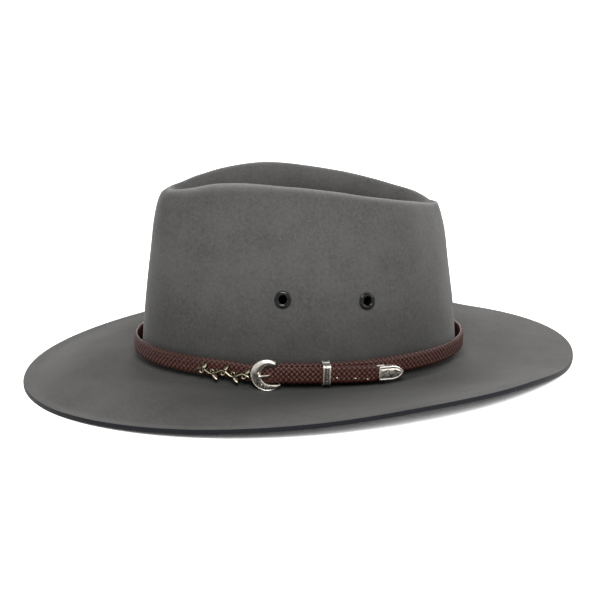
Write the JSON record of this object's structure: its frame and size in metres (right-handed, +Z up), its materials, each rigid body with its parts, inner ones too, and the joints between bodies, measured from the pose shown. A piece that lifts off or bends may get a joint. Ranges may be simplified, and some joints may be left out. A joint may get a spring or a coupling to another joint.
{
  "type": "wool felt hat",
  "caption": "Wide-brimmed wool felt hat with a teardrop crown, a slightly curved brim, side eyelets and a plaited leather band with a crescent buckle, keeper and pointed tip.",
  "frame": {"origin": "on the surface that the brim rests on, under the middle of the hat", "axes": "+Z up, -Y towards the hat's front, +X towards the wearer's left"},
  "size_m": [0.325, 0.364, 0.1304],
  "materials": {
    "felt": "matt charcoal wool felt with a soft nap",
    "leather": "dark reddish-brown plaited leather, satin",
    "silver": "antique silver, engraved, dark in the hollows",
    "ornament": "aged warm metal, satin",
    "eyelet": "glossy black enamel"
  },
  "bodies": {
    "root": {"felt_body": "felt", "plaited_band": "leather", "buckle_frame": "silver", "buckle_prong": "silver", "keeper_loop": "silver", "strap_tip": "silver", "vine_ornament": "ornament", "eyelet_left_front": "eyelet", "eyelet_left_rear": "eyelet", "eyelet_right_front": "eyelet", "eyelet_right_rear": "eyelet"}
  },
  "joints": []
}
